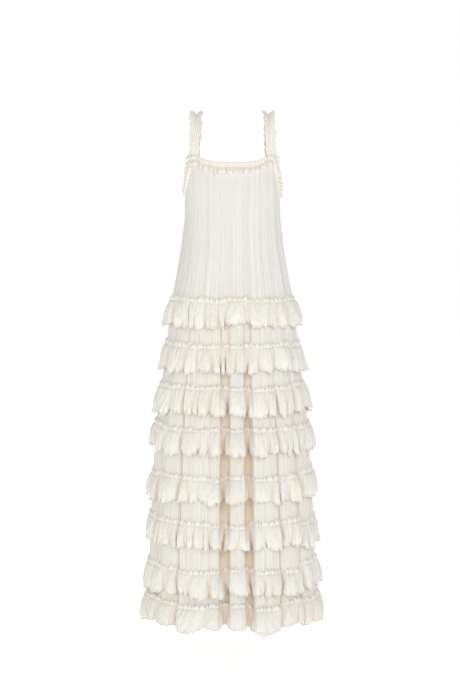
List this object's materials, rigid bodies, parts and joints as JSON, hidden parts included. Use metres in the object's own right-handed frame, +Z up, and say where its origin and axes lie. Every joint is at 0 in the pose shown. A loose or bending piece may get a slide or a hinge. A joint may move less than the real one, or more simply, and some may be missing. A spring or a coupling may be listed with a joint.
{
  "type": "maxi dress",
  "caption": "Sleeveless ankle-length dress of finely pleated cloth, with a scooped neck, frilled shoulder straps and gathered flounces in tiers down the skirt.",
  "frame": {"origin": "midway between the undersides of the two shoulder straps at their tops, where the wearer's shoulders hold the dress", "axes": "+Z up along the wearer, -Y out of the front, +X towards the wearer's left"},
  "size_m": [0.5284, 0.4293, 1.4428],
  "materials": {
    "bodice_cloth": "matt finely pleated ivory crepe",
    "flounce_cloth": "matt crinkled cream crepe, slightly sheer in the recesses"
  },
  "bodies": {
    "root": {"bodice_front": "bodice_cloth", "bodice_back": "bodice_cloth", "skirt_front": "flounce_cloth", "skirt_back": "flounce_cloth", "flounce_1_front": "flounce_cloth", "flounce_1_back": "flounce_cloth", "flounce_2_front": "flounce_cloth", "flounce_2_back": "flounce_cloth", "flounce_3_front": "flounce_cloth", "flounce_3_back": "flounce_cloth", "flounce_4_front": "flounce_cloth", "flounce_4_back": "flounce_cloth", "flounce_5_front": "flounce_cloth", "flounce_5_back": "flounce_cloth", "flounce_6_front": "flounce_cloth", "flounce_6_back": "flounce_cloth", "flounce_7_front": "flounce_cloth", "flounce_7_back": "flounce_cloth", "flounce_8_front": "flounce_cloth", "flounce_8_back": "flounce_cloth", "neck_ruffle_front": "flounce_cloth", "neck_ruffle_back": "flounce_cloth", "armhole_ruffle_right": "flounce_cloth", "armhole_ruffle_left": "flounce_cloth", "strap_right": "flounce_cloth", "strap_left": "flounce_cloth"}
  },
  "joints": []
}
